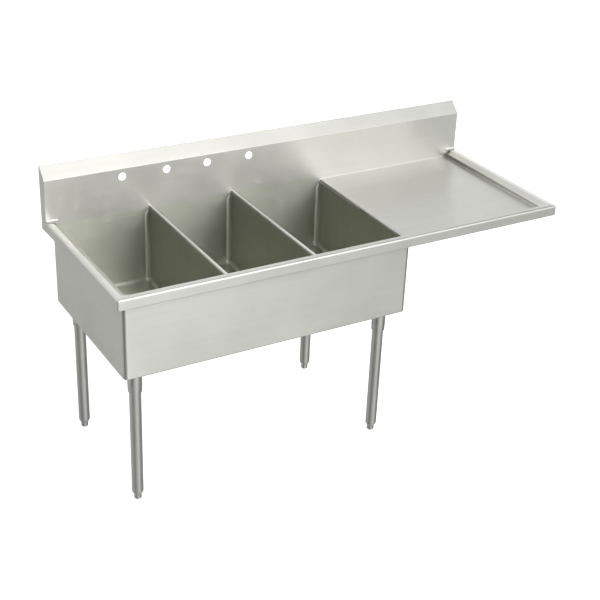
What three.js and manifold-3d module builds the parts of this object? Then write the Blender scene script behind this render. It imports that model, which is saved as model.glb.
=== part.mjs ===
// Three compartment sink with a right-hand drainboard, folded and welded from stainless steel sheet.
// Millimetres, +Z up. The origin is on the floor, at the middle of the sink's length and depth.
// +X runs from the bowls towards the drainboard, and +Y runs towards the wall.

import * as THREE from "three";
import { mergeVertices } from "three/addons/utils/BufferGeometryUtils.js";
import Module from "manifold-3d";

const wasm = await Module();
wasm.setup();

// Driving dimensions.
const LENGTH = 2070; // outer face of the left rim to outer face of the right rim
const DEPTH = 816; // face of the front rim to the wall
const RIM_HEIGHT = 960; // floor to the top of the rim
const SHEET = 2; // every folded sheet
const JOINT_GAP = 0.3; // between pieces that meet at a weld or a slip fit

const BACKSPLASH_DEPTH = 52; // face of the backsplash to the wall
const CREASE_ABOVE_RIM = 182; // where the backsplash face turns back to the wall
const BACK_FLANGE = 30; // turned down against the wall
const FAUCET_CENTRES = 203.2;
const FAUCET_HOLE_RADIUS = 17.5;
const FAUCET_HOLE_ABOVE_RIM = 146;
const FAUCET_LEFT_OF_DIVIDER = 22; // each pair of holes sits a little left of its divider
const SPLASH_BEND_RADIUS = 2.5;

const RIM_FLAT = 27; // level part of the rim's top
const RIM_WIDTH = 51; // level part and inner slope together
const RIM_SLOPE_DROP = 14;
const RIM_LIP_DEPTH = 18; // below the rim's top, where the bowls and the tray take over
const RIM_FACE = 47;

const DIVIDERS_FROM_LEFT = [466, 860];
const DIVIDER_WIDTH = 14;
const DIVIDER_ROLL_RADIUS = 6.9; // a little under half the width, so that the top is almost a half round
const DIVIDER_BELOW_RIM = 5;
const BOWLS_END_FROM_LEFT = 1312; // inner face of the last bowl's right wall
const BODY_BELOW_RIM = 368; // bottom edge of the apron
const BOWL_FLOOR_ABOVE_BODY_BOTTOM = 8;
const BOWL_CORNER_RADIUS = 22;
const BOWL_COVE_RADIUS = 19;
const APRON_OVERHANG = 28; // how far the rim stands out in front of the apron
const APRON_CORNER_RADIUS = 20;
const APRON_BELOW_RIM = 36; // top edge of the apron, hidden behind the rim's face
const APRON_FLANGE = 10; // turned in under the bowls
const APRON_BEYOND_BOWLS = 5; // inner face of a bowl to outer face of the apron, at the right and the rear
const APRON_REAR_RETURN = 45; // how far the apron reaches round behind the bowls
const APRON_BEND_RADIUS = 8; // along the bottom edge

const DECK_BELOW_RIM = 31;
const DECK_ROLL_RADIUS = 12; // from the drainboard down into the last bowl
const DECK_COVE_RADIUS = 8;
const BEND_RADIUS = 4;

const LEGS_FROM_LEFT = { left: 88, right: 1213 };
const LEGS_FROM_FRONT = { front: 72, rear: 664 };
const LEG_RADIUS = 24; // 48 mm tube
const LEG_WALL = 1.5;
const SOCKET_LENGTH = 82;
const FOOT_HEIGHT = 37.5;
const FOOT_GAP = 0.5; // between a foot's shoulder and the insert above it
const INSERT_FLANGE = 3;
const INSERT_LENGTH = 28; // inside the tube
const STUD_RADIUS = 6;
const STUD_LENGTH = 50;
const GUSSET_THICKNESS = 4;

const DRAIN_HOLE_RADIUS = 46.5;
const DRAIN_DISH_RADIUS = 72;
const DRAIN_DISH_DEPTH = 4;
const DRAIN_SEAT_ABOVE_DISH = 2.2; // the strainer's flange rests part way up the dish's slope
const STRAINER_DEPTH = 50;
const STRAINER_OUTER = 45.3;
const STRAINER_WALL = 2.3;
const TAILPIECE_LENGTH = 45;
const TAILPIECE_RADIUS = 19; // of its bore
const GASKET_THICKNESS = 3;

const ROUND_SEGMENTS = 20;
const BEND_STEPS = 3;
const BOWL_CORNER_STEPS = 4;

// Places that follow from the dimensions.
const fromLeft = (distance) => distance - LENGTH / 2;
const fromFront = (distance) => distance - DEPTH / 2;
const belowRim = (distance) => RIM_HEIGHT - distance;
const LEFT = fromLeft(0);
const RIGHT = fromLeft(LENGTH);
const FRONT = fromFront(0);
const WALL = fromFront(DEPTH);
const SPLASH_FACE = fromFront(DEPTH - BACKSPLASH_DEPTH);
const BODY_BOTTOM = belowRim(BODY_BELOW_RIM);
const BOWL_FLOOR = BODY_BOTTOM + BOWL_FLOOR_ABOVE_BODY_BOTTOM;
const BOWL_TOP = belowRim(RIM_LIP_DEPTH + JOINT_GAP);
const BOWL_FRONT = fromFront(RIM_WIDTH);
const BOWLS_END = fromLeft(BOWLS_END_FROM_LEFT);
const DECK = belowRim(DECK_BELOW_RIM);
const DECK_ROLL_BOTTOM = DECK - DECK_ROLL_RADIUS - SHEET;
const TRAY_RIGHT = RIGHT - RIM_WIDTH;

const SIDES = ["left", "right"];
const ENDS = ["front", "rear"];
const BOWL_NAMES = ["left", "centre", "right"];
const BACKWARDS = new THREE.Vector3(0, 1, 0);
const UPWARDS = new THREE.Vector3(0, 0, 1);
const DIVIDERS = DIVIDERS_FROM_LEFT.map(fromLeft);

// Materials.

function steel(colour, roughness) {
  return new THREE.MeshStandardMaterial({ color: colour, roughness, metalness: 1 });
}

const materials = {
  sheet: steel(0xc4c5bf, 0.38),
  tube: steel(0xb9bab2, 0.32),
  casting: steel(0xaaaba4, 0.45),
  polished: steel(0xd2d3d0, 0.18),
  fastener: steel(0x8f908c, 0.4),
  insert: new THREE.MeshStandardMaterial({ color: 0x9a9b98, roughness: 0.6, metalness: 0 }),
  gasket: new THREE.MeshStandardMaterial({ color: 0x1b1b1c, roughness: 0.85, metalness: 0 }),
};

// Geometry helpers.

const vec2 = (x, y) => new THREE.Vector2(x, y);
const vec3 = (x, y, z) => new THREE.Vector3(x, y, z);

// The points along a bent line, with every bend rounded to the radius.
function roundedLine(corners, radius) {
  const line = [corners[0]];
  for (let i = 1; i < corners.length - 1; i++) {
    const corner = corners[i];
    const back = corners[i - 1].clone().sub(corner).normalize();
    const onward = corners[i + 1].clone().sub(corner).normalize();
    const halfAngle = Math.acos(back.dot(onward)) / 2;
    const toCentre = back.clone().add(onward).setLength(radius / Math.sin(halfAngle));
    const start = back.clone().multiplyScalar(radius / Math.tan(halfAngle)).sub(toCentre);
    const turn = Math.sign(back.cross(onward)) * (Math.PI - 2 * halfAngle);
    for (let k = 0; k <= BEND_STEPS; k++) {
      const spoke = start.clone().rotateAround(vec2(0, 0), (-turn * k) / BEND_STEPS);
      line.push(spoke.add(toCentre).add(corner));
    }
  }
  line.push(corners[corners.length - 1]);
  return line;
}

// The outline of a folded sheet whose visible surface follows the bent line. The thickness lies to the
// right of the direction of travel, or to the left when side is -1.
function foldedSheet(corners, radius, side = 1, thickness = SHEET) {
  const line = roundedLine(corners, radius);
  const hidden = line.map((point, i) => {
    const before = line[Math.max(i - 1, 0)];
    const after = line[Math.min(i + 1, line.length - 1)];
    const into = point.clone().sub(before).normalize();
    const out = after.clone().sub(point).normalize();
    const tangent = into.clone().add(out).normalize();
    const straight = i > 0 ? into : out;
    const offset = (side * thickness) / tangent.dot(straight);
    return vec2(point.x + tangent.y * offset, point.y - tangent.x * offset);
  });
  return [...line, ...hidden.reverse()];
}

// A mesh through rings that all have the same number of points. The rings either close on themselves,
// or end in flat caps cut from the given outline.
function skin(rings, capOutline) {
  const count = rings[0].length;
  const positions = rings.flat().flatMap((point) => point.toArray());
  const index = [];
  const spans = capOutline ? rings.length - 1 : rings.length;
  for (let i = 0; i < spans; i++) {
    const here = i * count;
    const next = ((i + 1) % rings.length) * count;
    for (let j = 0; j < count; j++) {
      const k = (j + 1) % count;
      index.push(here + j, here + k, next + k, here + j, next + k, next + j);
    }
  }
  if (capOutline) {
    const last = (rings.length - 1) * count;
    const clockwise = THREE.ShapeUtils.isClockWise(capOutline);
    for (const [a, b, c] of THREE.ShapeUtils.triangulateShape(capOutline, [])) {
      if (clockwise) index.push(a, b, c, last + c, last + b, last + a);
      else index.push(c, b, a, last + a, last + b, last + c);
    }
  }
  const geometry = new THREE.BufferGeometry();
  geometry.setAttribute("position", new THREE.Float32BufferAttribute(positions, 3));
  geometry.setIndex(index);
  return facingOut(geometry);
}

// The same geometry, turned round if its faces point inwards.
function facingOut(geometry) {
  const position = geometry.getAttribute("position");
  const index = geometry.getIndex().array;
  const [a, b, c] = [vec3(), vec3(), vec3()];
  let volume = 0;
  for (let i = 0; i < index.length; i += 3) {
    a.fromBufferAttribute(position, index[i]);
    b.fromBufferAttribute(position, index[i + 1]);
    c.fromBufferAttribute(position, index[i + 2]);
    volume += a.dot(b.cross(c));
  }
  if (volume < 0) {
    for (let i = 0; i < index.length; i += 3) [index[i], index[i + 1]] = [index[i + 1], index[i]];
  }
  return geometry;
}

// An outline in the YZ plane, run along X.
function alongX(outline, from, to) {
  const ring = (x) => outline.map((point) => vec3(x, point.x, point.y));
  return skin([ring(from), ring(to)], outline);
}

// An outline in the XZ plane, run along Y.
function alongY(outline, from, to) {
  const ring = (y) => outline.map((point) => vec3(point.x, y, point.y));
  return skin([ring(from), ring(to)], outline);
}

// An outline in the XY plane, run along Z.
function alongZ(outline, from, to) {
  const ring = (z) => outline.map((point) => vec3(point.x, point.y, z));
  return skin([ring(from), ring(to)], outline);
}

function box(from, to) {
  const size = to.clone().sub(from);
  const middle = from.clone().add(to).multiplyScalar(0.5);
  return new THREE.BoxGeometry(...size.toArray()).translate(...middle.toArray());
}

// A closed profile of [radius, height] pairs, turned about the Z axis.
function turned(profile, segments = ROUND_SEGMENTS) {
  const points = profile.map(([radius, height]) => vec2(radius, height));
  const onAxis = points[0].x === 0;
  const loop = onAxis ? points : [...points, points[0]];
  const lathe = new THREE.LatheGeometry(loop, segments).rotateX(Math.PI / 2);
  return facingOut(withPositionsOnly(lathe));
}

// A cylinder from one point along a direction.
function rod(start, direction, length, radius, segments) {
  const geometry = new THREE.CylinderGeometry(radius, radius, length, segments);
  geometry.translate(0, length / 2, 0);
  geometry.applyQuaternion(new THREE.Quaternion().setFromUnitVectors(vec3(0, 1, 0), direction));
  return geometry.translate(...start.toArray());
}

function withPositionsOnly(geometry) {
  const bare = geometry.clone();
  bare.deleteAttribute("normal");
  bare.deleteAttribute("uv");
  return mergeVertices(bare, 1e-3);
}

function solid(geometry) {
  const merged = withPositionsOnly(geometry);
  return new wasm.Manifold(
    new wasm.Mesh({
      numProp: 3,
      vertProperties: Float32Array.from(merged.getAttribute("position").array),
      triVerts: Uint32Array.from(merged.getIndex().array),
    }),
  );
}

function geometryOf(manifold) {
  const mesh = manifold.getMesh();
  const geometry = new THREE.BufferGeometry();
  geometry.setAttribute("position", new THREE.Float32BufferAttribute(mesh.vertProperties, 3));
  geometry.setIndex(Array.from(mesh.triVerts));
  return geometry;
}

function joined(geometries) {
  return geometryOf(geometries.map(solid).reduce((whole, piece) => whole.add(piece)));
}

function cut(geometry, cutters) {
  return geometryOf(cutters.map(solid).reduce((whole, cutter) => whole.subtract(cutter), solid(geometry)));
}

// Backsplash.

// Each pair of faucet holes straddles a point a little left of a divider.
function faucetHoleCentres() {
  return DIVIDERS.flatMap((divider) => {
    const middle = divider - FAUCET_LEFT_OF_DIVIDER;
    return [middle - FAUCET_CENTRES / 2, middle + FAUCET_CENTRES / 2];
  });
}

function backsplash() {
  const crease = RIM_HEIGHT + CREASE_ABOVE_RIM;
  const top = crease + BACKSPLASH_DEPTH;
  const outline = foldedSheet(
    [
      vec2(SPLASH_FACE, belowRim(RIM_LIP_DEPTH)),
      vec2(SPLASH_FACE, crease),
      vec2(WALL, top),
      vec2(WALL, top - BACK_FLANGE),
    ],
    SPLASH_BEND_RADIUS,
  );
  const inset = SHEET + JOINT_GAP;
  const sheet = alongX(outline, LEFT + inset, RIGHT - inset);
  const height = RIM_HEIGHT + FAUCET_HOLE_ABOVE_RIM;
  const drills = faucetHoleCentres().map((x) =>
    rod(vec3(x, SPLASH_FACE - SHEET, height), BACKWARDS, 3 * SHEET, FAUCET_HOLE_RADIUS, ROUND_SEGMENTS),
  );
  return cut(sheet, drills);
}

function backsplashEndCap(outerFace, inwards) {
  const crease = RIM_HEIGHT + CREASE_ABOVE_RIM;
  const outline = [
    vec2(SPLASH_FACE, belowRim(RIM_FACE)),
    vec2(SPLASH_FACE, crease),
    vec2(WALL, crease + BACKSPLASH_DEPTH),
    vec2(WALL, belowRim(RIM_FACE)),
  ];
  return alongX(outline, outerFace, outerFace + inwards * SHEET);
}

// Rims.

// The raised channel: distance in from the rim's outer face, and height.
function rimOutline() {
  return foldedSheet(
    [
      vec2(RIM_WIDTH, belowRim(RIM_LIP_DEPTH)),
      vec2(RIM_WIDTH, belowRim(RIM_SLOPE_DROP)),
      vec2(RIM_FLAT, RIM_HEIGHT),
      vec2(0, RIM_HEIGHT),
      vec2(0, belowRim(RIM_FACE)),
      vec2(APRON_OVERHANG - JOINT_GAP, belowRim(RIM_FACE)),
    ],
    BEND_RADIUS,
    -1,
  );
}

function frontRim() {
  const outline = rimOutline();
  const leftMitre = outline.map((p) => vec3(LEFT + p.x, FRONT + p.x, p.y));
  const rightMitre = outline.map((p) => vec3(RIGHT - p.x, FRONT + p.x, p.y));
  return skin([leftMitre, rightMitre], outline);
}

function sideRim(outerFace, inwards) {
  const outline = rimOutline();
  const mitre = outline.map((p) => vec3(outerFace + inwards * p.x, FRONT + JOINT_GAP + p.x, p.y));
  const rear = outline.map((p) => vec3(outerFace + inwards * p.x, SPLASH_FACE - JOINT_GAP, p.y));
  return skin([mitre, rear], outline);
}

// Bowls.

// The inner faces of one bowl, counted from the left.
function bowlPlan(number) {
  const halfDivider = DIVIDER_WIDTH / 2;
  const left = number === 0 ? fromLeft(RIM_WIDTH) : DIVIDERS[number - 1] + halfDivider;
  const right = number < DIVIDERS.length ? DIVIDERS[number] - halfDivider : BOWLS_END;
  return {
    left,
    right,
    centreX: (left + right) / 2,
    centreY: (BOWL_FRONT + SPLASH_FACE) / 2,
    halfX: (right - left) / 2,
    halfY: (SPLASH_FACE - BOWL_FRONT) / 2,
  };
}

function bowlOutline(plan, inset, height) {
  const radius = BOWL_CORNER_RADIUS - inset;
  const ring = [];
  for (let corner = 0; corner < 4; corner++) {
    const signX = corner === 0 || corner === 3 ? 1 : -1;
    const signY = corner < 2 ? 1 : -1;
    const x = plan.centreX + signX * (plan.halfX - BOWL_CORNER_RADIUS);
    const y = plan.centreY + signY * (plan.halfY - BOWL_CORNER_RADIUS);
    for (let k = 0; k <= BOWL_CORNER_STEPS; k++) {
      const angle = (corner + k / BOWL_CORNER_STEPS) * (Math.PI / 2);
      ring.push(vec3(x + radius * Math.cos(angle), y + radius * Math.sin(angle), height));
    }
  }
  return ring;
}

// A circle about the drain, with as many points as the bowl's outline.
function drainRing(plan, radius, height) {
  const count = 4 * (BOWL_CORNER_STEPS + 1);
  return Array.from({ length: count }, (_, k) => {
    const angle = ((k + 0.5) / count) * 2 * Math.PI;
    return vec3(plan.centreX + radius * Math.cos(angle), plan.centreY + radius * Math.sin(angle), height);
  });
}

// One face of the bowl's sheet, from its top edge down the walls, round the cove and in to the drain.
function bowlFace(plan, thickness) {
  const radius = BOWL_COVE_RADIUS + thickness;
  const floor = BOWL_FLOOR - thickness;
  const rings = [bowlOutline(plan, -thickness, BOWL_TOP)];
  for (let k = 0; k <= BEND_STEPS; k++) {
    const angle = (k / BEND_STEPS) * (Math.PI / 2);
    const inset = radius * (1 - Math.cos(angle)) - thickness;
    rings.push(bowlOutline(plan, inset, floor + radius * (1 - Math.sin(angle))));
  }
  rings.push(drainRing(plan, DRAIN_DISH_RADIUS, floor));
  rings.push(drainRing(plan, DRAIN_HOLE_RADIUS, floor - DRAIN_DISH_DEPTH));
  return rings;
}

function bowl(plan) {
  return skin([...bowlFace(plan, 0), ...bowlFace(plan, SHEET).reverse()]);
}

// The last bowl's right wall stops below the drainboard's roll, between its two rounded corners.
function lastBowl(plan) {
  const clear = BOWL_CORNER_RADIUS + SHEET;
  const notch = box(
    vec3(BOWLS_END - SHEET, BOWL_FRONT + clear, DECK_ROLL_BOTTOM - JOINT_GAP),
    vec3(BOWLS_END + 2 * SHEET, SPLASH_FACE - clear, RIM_HEIGHT),
  );
  return cut(bowl(plan), [notch]);
}

function dividerCap(middle) {
  const left = middle - DIVIDER_WIDTH / 2;
  const right = middle + DIVIDER_WIDTH / 2;
  const top = belowRim(DIVIDER_BELOW_RIM);
  const foot = belowRim(RIM_LIP_DEPTH);
  const outline = foldedSheet(
    [vec2(left, foot), vec2(left, top), vec2(right, top), vec2(right, foot)],
    DIVIDER_ROLL_RADIUS,
  );
  return alongY(outline, BOWL_FRONT + JOINT_GAP, SPLASH_FACE - JOINT_GAP);
}

// Drainboard: a tray whose left edge rolls down into the last bowl.
function drainboard() {
  const lip = BOWL_TOP;
  const start = BOWLS_END + SHEET + JOINT_GAP;
  const cornerDepth = BOWL_CORNER_RADIUS + SHEET + JOINT_GAP;
  const shelf = 2 * DECK_COVE_RADIUS;
  const rollEnd = BOWLS_END + 3 * DECK_ROLL_RADIUS;
  const plateEnd = BOWLS_END + DECK_ROLL_RADIUS + SHEET;
  const rollAndDeck = foldedSheet(
    [vec2(BOWLS_END, DECK_ROLL_BOTTOM), vec2(BOWLS_END, DECK), vec2(rollEnd, DECK)],
    DECK_ROLL_RADIUS,
  );
  const deckAndRight = foldedSheet(
    [vec2(BOWLS_END + DECK_ROLL_RADIUS, DECK), vec2(TRAY_RIGHT, DECK), vec2(TRAY_RIGHT, lip)],
    DECK_COVE_RADIUS,
  );
  const frontUpturn = foldedSheet(
    [vec2(BOWL_FRONT + shelf, DECK), vec2(BOWL_FRONT, DECK), vec2(BOWL_FRONT, lip)],
    DECK_COVE_RADIUS,
    -1,
  );
  const rearUpturn = foldedSheet(
    [vec2(SPLASH_FACE - shelf, DECK), vec2(SPLASH_FACE, DECK), vec2(SPLASH_FACE, lip)],
    DECK_COVE_RADIUS,
  );
  const cornerPlate = (near, far) => box(vec3(start, near, DECK - SHEET), vec3(plateEnd, far, DECK));
  return joined([
    alongY(deckAndRight, BOWL_FRONT, SPLASH_FACE),
    alongY(rollAndDeck, BOWL_FRONT + cornerDepth, SPLASH_FACE - cornerDepth),
    cornerPlate(BOWL_FRONT + shelf / 2, BOWL_FRONT + cornerDepth),
    cornerPlate(SPLASH_FACE - cornerDepth, SPLASH_FACE - shelf / 2),
    alongX(frontUpturn, start, TRAY_RIGHT + SHEET),
    alongX(rearUpturn, start, TRAY_RIGHT + SHEET),
  ]);
}

// A hat-section channel welded to the underside of the drainboard.
function drainboardChannel() {
  const middle = (BOWL_FRONT + SPLASH_FACE) / 2;
  const top = DECK - SHEET;
  const halfCrown = 25;
  const halfWidth = 47;
  const height = 28;
  const outline = foldedSheet(
    [
      vec2(middle - halfWidth, top),
      vec2(middle - halfCrown, top),
      vec2(middle - halfCrown, top - height),
      vec2(middle + halfCrown, top - height),
      vec2(middle + halfCrown, top),
      vec2(middle + halfWidth, top),
    ],
    BEND_RADIUS,
  );
  const fromBody = DECK_ROLL_RADIUS + SHEET;
  const fromRim = 12;
  return alongX(outline, BOWLS_END + fromBody, TRAY_RIGHT - fromRim);
}

// Apron: one wrapped panel round the front and both ends, with a short return behind the bowls.

function apronPath() {
  const left = LEFT + APRON_OVERHANG;
  const right = BOWLS_END + APRON_BEYOND_BOWLS;
  const front = FRONT + APRON_OVERHANG;
  const rear = SPLASH_FACE + APRON_BEYOND_BOWLS;
  const corners = [
    { x: left, y: rear, start: 90 },
    { x: left, y: front, start: 180 },
    { x: right, y: front, start: 270 },
    { x: right, y: rear, start: 0 },
  ];
  const stations = [{ point: vec2(left + APRON_REAR_RETURN, rear), inward: vec2(0, -1) }];
  for (const { x, y, start } of corners) {
    const centreX = x + APRON_CORNER_RADIUS * (x === left ? 1 : -1);
    const centreY = y + APRON_CORNER_RADIUS * (y === front ? 1 : -1);
    for (let k = 0; k <= BEND_STEPS; k++) {
      const angle = THREE.MathUtils.degToRad(start + (90 * k) / BEND_STEPS);
      const outward = vec2(Math.cos(angle), Math.sin(angle));
      const point = vec2(centreX, centreY).addScaledVector(outward, APRON_CORNER_RADIUS);
      stations.push({ point, inward: outward.clone().negate() });
    }
  }
  stations.push({ point: vec2(right - APRON_REAR_RETURN, rear), inward: vec2(0, -1) });
  return stations;
}

function apronOutline(top) {
  return foldedSheet(
    [vec2(0, top), vec2(0, BODY_BOTTOM), vec2(APRON_FLANGE, BODY_BOTTOM)],
    APRON_BEND_RADIUS,
    -1,
  );
}

function apron() {
  const stations = apronPath();
  const underRoll = DECK_ROLL_BOTTOM - SHEET;
  const rings = stations.map(({ point, inward }) => {
    const onRight = point.x > BOWLS_END;
    const behindBowls = point.y > SPLASH_FACE;
    const top = onRight || behindBowls ? underRoll : belowRim(APRON_BELOW_RIM);
    return apronOutline(top).map((p) => vec3(point.x + inward.x * p.x, point.y + inward.y * p.x, p.y));
  });
  return skin(rings, apronOutline(underRoll));
}

// Legs. Each is built about the Z axis, and its group carries it to its place.

const GUSSET_BOTTOM = BOWL_FLOOR - SHEET - GUSSET_THICKNESS;
const LEG_BOTTOM = FOOT_HEIGHT + FOOT_GAP + INSERT_FLANGE;
const SCREW_RADIUS = 3.7;
const SCREW_HEIGHT = GUSSET_BOTTOM - SOCKET_LENGTH / 2;
const SCREW_SEGMENTS = 12;

// Inwards is the sign of the direction towards the middle of the bowls, on X and on Y.
function gusset(inwardX, inwardY) {
  const outer = 33;
  const inner = 84;
  const clip = 55;
  const outline = [
    vec2(-outer, -outer),
    vec2(inner, -outer),
    vec2(inner, inner - clip),
    vec2(inner - clip, inner),
    vec2(-outer, inner),
  ].map((p) => vec2(p.x * inwardX, p.y * inwardY));
  return alongZ(outline, GUSSET_BOTTOM, GUSSET_BOTTOM + GUSSET_THICKNESS);
}

function legSocket(inwardX) {
  const bore = LEG_RADIUS + JOINT_GAP;
  const topRadius = 29.5;
  const waistRadius = 29.1;
  const bottomRadius = 28;
  const edge = 1.5;
  const bottom = GUSSET_BOTTOM - SOCKET_LENGTH;
  const waist = bottom + 0.3 * SOCKET_LENGTH;
  const body = turned([
    [bore, GUSSET_BOTTOM],
    [topRadius, GUSSET_BOTTOM],
    [waistRadius, waist],
    [bottomRadius, bottom + edge],
    [bottomRadius - edge, bottom],
    [bore, bottom],
  ]);
  const middle = vec3(0, 0, SCREW_HEIGHT);
  const drill = rod(middle, vec3(inwardX, 0, 0), 1.2 * topRadius, SCREW_RADIUS + JOINT_GAP, SCREW_SEGMENTS);
  return cut(body, [drill]);
}

function setScrew(inwardX) {
  const length = 5;
  const socketDepth = 2.8;
  const socketRadius = 2.3;
  const socketSides = 6;
  const start = LEG_RADIUS + JOINT_GAP;
  const direction = vec3(inwardX, 0, 0);
  const at = (distance) => vec3(inwardX * distance, 0, SCREW_HEIGHT);
  const body = rod(at(start), direction, length, SCREW_RADIUS, SCREW_SEGMENTS);
  const hexagon = rod(
    at(start + length - socketDepth),
    direction,
    2 * socketDepth,
    socketRadius,
    socketSides,
  );
  return cut(body, [hexagon]);
}

function legTube() {
  const top = GUSSET_BOTTOM - JOINT_GAP;
  return turned([
    [LEG_RADIUS, LEG_BOTTOM],
    [LEG_RADIUS, top],
    [LEG_RADIUS - LEG_WALL, top],
    [LEG_RADIUS - LEG_WALL, LEG_BOTTOM],
  ]);
}

function footInsert() {
  const bottom = LEG_BOTTOM - INSERT_FLANGE;
  const flange = LEG_RADIUS - JOINT_GAP;
  const sleeve = LEG_RADIUS - LEG_WALL - JOINT_GAP;
  const bore = STUD_RADIUS + JOINT_GAP;
  return turned([
    [bore, bottom],
    [flange, bottom],
    [flange, LEG_BOTTOM],
    [sleeve, LEG_BOTTOM],
    [sleeve, LEG_BOTTOM + INSERT_LENGTH],
    [bore, LEG_BOTTOM + INSERT_LENGTH],
  ]);
}

// A bullet foot: a shoulder, a tapered nose with a flat to stand on, and a stud up into the insert.
function bulletFoot() {
  const standingRadius = 11;
  const noseRadius = 15.5;
  const shoulderRadius = 21.6;
  return turned([
    [0, 0],
    [standingRadius, 0],
    [noseRadius - 1.2, 2],
    [noseRadius, 6],
    [noseRadius + 0.4, 22],
    [noseRadius + 1.4, 25],
    [shoulderRadius, 33],
    [shoulderRadius + 0.4, FOOT_HEIGHT],
    [STUD_RADIUS, FOOT_HEIGHT],
    [STUD_RADIUS, FOOT_HEIGHT + STUD_LENGTH],
    [0, FOOT_HEIGHT + STUD_LENGTH],
  ]);
}

// Drains. Each is built about the Z axis, with its flange resting in the dish of the bowl's floor.

const DRAIN_SEAT = BOWL_FLOOR - DRAIN_DISH_DEPTH + DRAIN_SEAT_ABOVE_DISH; // underside of the flange
const UNDER_DISH = BOWL_FLOOR - SHEET - DRAIN_DISH_DEPTH; // underside of the bowl round the drain
const STRAINER_INNER = STRAINER_OUTER - STRAINER_WALL;

function strainerBody() {
  const flangeRadius = 55;
  const flangeHeight = 2.5;
  const edgeHeight = 1.6;
  const funnel = 3; // the bottom slopes in to the tailpiece
  const bottom = DRAIN_SEAT - STRAINER_DEPTH;
  const outlet = bottom - TAILPIECE_LENGTH;
  const tailpieceOuter = TAILPIECE_RADIUS + STRAINER_WALL;
  return turned([
    [STRAINER_INNER, DRAIN_SEAT + flangeHeight / 2],
    [STRAINER_INNER + flangeHeight / 2, DRAIN_SEAT + flangeHeight],
    [flangeRadius, DRAIN_SEAT + edgeHeight],
    [flangeRadius, DRAIN_SEAT],
    [STRAINER_OUTER, DRAIN_SEAT],
    [STRAINER_OUTER, bottom],
    [tailpieceOuter, bottom - funnel],
    [tailpieceOuter, outlet],
    [TAILPIECE_RADIUS, outlet],
    [TAILPIECE_RADIUS, bottom],
    [STRAINER_INNER, bottom + funnel],
  ]);
}

function drainGasket() {
  const outer = 60;
  const inner = STRAINER_OUTER + JOINT_GAP;
  const top = UNDER_DISH - JOINT_GAP;
  const bottom = top - GASKET_THICKNESS;
  return turned([
    [inner, bottom],
    [outer, bottom],
    [outer, top],
    [inner, top],
  ]);
}

// A ring nut with a flange at the top and lugs round its edge.
function lockNut() {
  const inner = STRAINER_OUTER + JOINT_GAP;
  const outer = 53;
  const flange = 58;
  const flangeThickness = 3;
  const height = 10;
  const top = UNDER_DISH - GASKET_THICKNESS - 2 * JOINT_GAP;
  const bottom = top - height;
  const ring = turned([
    [inner, bottom],
    [outer, bottom],
    [outer, top - flangeThickness],
    [flange, top - flangeThickness],
    [flange, top],
    [inner, top],
  ]);
  const lugs = 6;
  const lugReach = 60;
  const lugHalfWidth = 5;
  const lugBoxes = Array.from({ length: lugs }, (_, k) => {
    const from = vec3(outer - SHEET, -lugHalfWidth, bottom);
    const to = vec3(lugReach, lugHalfWidth, top - 1);
    return box(from, to).rotateZ((k / lugs) * 2 * Math.PI);
  });
  return joined([ring, ...lugBoxes]);
}

// A perforated cup with a post and a knob to lift it by. It hangs by its rim inside the strainer's body.
function strainerBasket() {
  const wall = 1.6;
  const rimRadius = 42.2;
  const floorRadius = 30;
  const postRadius = 3.5;
  const knobRadius = 11.5;
  const rim = DRAIN_SEAT - 5;
  const floor = DRAIN_SEAT - 39;
  const cup = turned([
    [0, floor],
    [floorRadius, floor],
    [floorRadius + 6, floor + 5],
    [rimRadius - 0.6, rim - 2],
    [rimRadius, rim],
    [rimRadius - wall, rim],
    [floorRadius + 6 - wall, floor + 5 + wall],
    [floorRadius - wall / 2, floor + wall],
    [postRadius, floor + wall],
    [postRadius, rim],
    [knobRadius - 1.5, rim + 2],
    [knobRadius, rim + 6],
    [knobRadius - 3.5, rim + 10],
    [0, rim + 11],
  ]);
  const holes = 8;
  const holeRadius = 4;
  const holeSides = 6;
  const fromMiddle = 20;
  const drills = Array.from({ length: holes }, (_, k) => {
    const angle = ((k + 0.5) / holes) * 2 * Math.PI;
    const start = vec3(fromMiddle * Math.cos(angle), fromMiddle * Math.sin(angle), floor - wall);
    return rod(start, UPWARDS, 4 * wall, holeRadius, holeSides);
  });
  return cut(cup, drills);
}

// Assembly.

function named(name, geometry, material) {
  const mesh = new THREE.Mesh(geometry, material.clone());
  mesh.name = name;
  return mesh;
}

function body() {
  const group = new THREE.Group();
  const { sheet } = materials;
  group.add(
    named("backsplash", backsplash(), sheet),
    named("backsplash_end_left", backsplashEndCap(LEFT, 1), sheet),
    named("backsplash_end_right", backsplashEndCap(RIGHT, -1), sheet),
    named("front_rim", frontRim(), sheet),
    named("left_rim", sideRim(LEFT, 1), sheet),
    named("right_rim", sideRim(RIGHT, -1), sheet),
    named("drainboard", drainboard(), sheet),
    named("drainboard_channel", drainboardChannel(), sheet),
    named("apron", apron(), sheet),
  );
  BOWL_NAMES.forEach((name, number) => {
    const plan = bowlPlan(number);
    const last = number === BOWL_NAMES.length - 1;
    group.add(named(`bowl_${name}`, last ? lastBowl(plan) : bowl(plan), sheet));
  });
  SIDES.forEach((side, number) => {
    group.add(named(`divider_cap_${side}`, dividerCap(DIVIDERS[number]), sheet));
  });
  return group;
}

function leg(end, side) {
  const group = new THREE.Group();
  const place = `${end}_${side}`;
  const inwardX = side === "left" ? 1 : -1;
  const inwardY = end === "front" ? 1 : -1;
  group.position.set(fromLeft(LEGS_FROM_LEFT[side]), fromFront(LEGS_FROM_FRONT[end]), 0);
  group.add(
    named(`gusset_${place}`, gusset(inwardX, inwardY), materials.sheet),
    named(`leg_socket_${place}`, legSocket(inwardX), materials.casting),
    named(`set_screw_${place}`, setScrew(inwardX), materials.fastener),
    named(`leg_tube_${place}`, legTube(), materials.tube),
    named(`foot_insert_${place}`, footInsert(), materials.insert),
    named(`bullet_foot_${place}`, bulletFoot(), materials.casting),
  );
  return group;
}

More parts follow.
